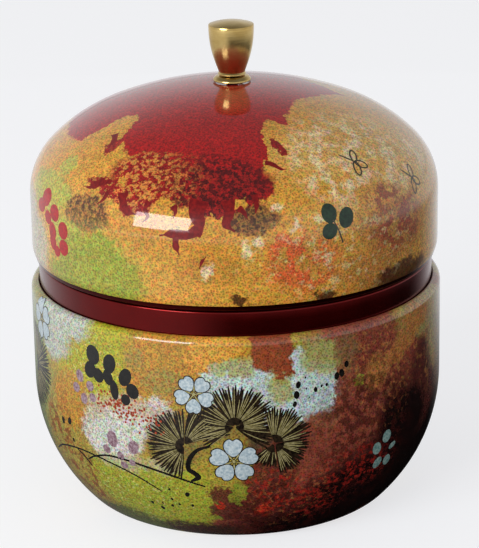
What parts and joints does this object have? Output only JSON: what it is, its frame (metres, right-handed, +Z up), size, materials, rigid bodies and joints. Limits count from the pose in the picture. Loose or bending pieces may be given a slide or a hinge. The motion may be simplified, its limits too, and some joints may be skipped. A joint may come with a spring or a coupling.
{
  "type": "tea caddy",
  "caption": "Round printed tinplate tea caddy: drawn body, red lacquered neck sleeve, domed lift-off lid with a turned brass knob, and a plug lid inside.",
  "frame": {"origin": "middle of the plane that the caddy stands on", "axes": "+Z up along the axis of revolution; +X to the right and +Y to the back of the printed side shown"},
  "size_m": [0.104, 0.104, 0.122],
  "materials": {
    "printed_body": "tinplate printed in ochre, rust, blue and near-black clouds with blossoms and pine sprays, under clear gloss varnish",
    "printed_lid": "tinplate printed in red, ochre and green clouds with leaf sprays, under clear gloss varnish",
    "neck_lacquer": "tinplate under deep red lacquer, glossy",
    "bright_tin": "bare bright tinplate",
    "polished_brass": "turned brass, polished",
    "zinc_steel": "zinc plated steel"
  },
  "bodies": {
    "caddy": {"body_shell": "printed_body", "neck_sleeve": "neck_lacquer"},
    "plug_lid": {"plug_pan": "bright_tin", "plug_knob": "polished_brass", "plug_washer": "zinc_steel", "plug_rivet": "zinc_steel"},
    "lid": {"lid_shell": "printed_lid", "knob_seat_ring": "polished_brass", "lid_knob": "polished_brass", "knob_washer": "zinc_steel", "knob_screw": "zinc_steel"}
  },
  "joints": [
    {"name": "lid_lift", "type": "slide", "parent": "caddy", "child": "lid", "axis": [0, 0, 1], "range_m": [0, 0.06]},
    {"name": "plug_lid_lift", "type": "slide", "parent": "caddy", "child": "plug_lid", "axis": [0, 0, 1], "range_m": [0, 0.01]}
  ]
}
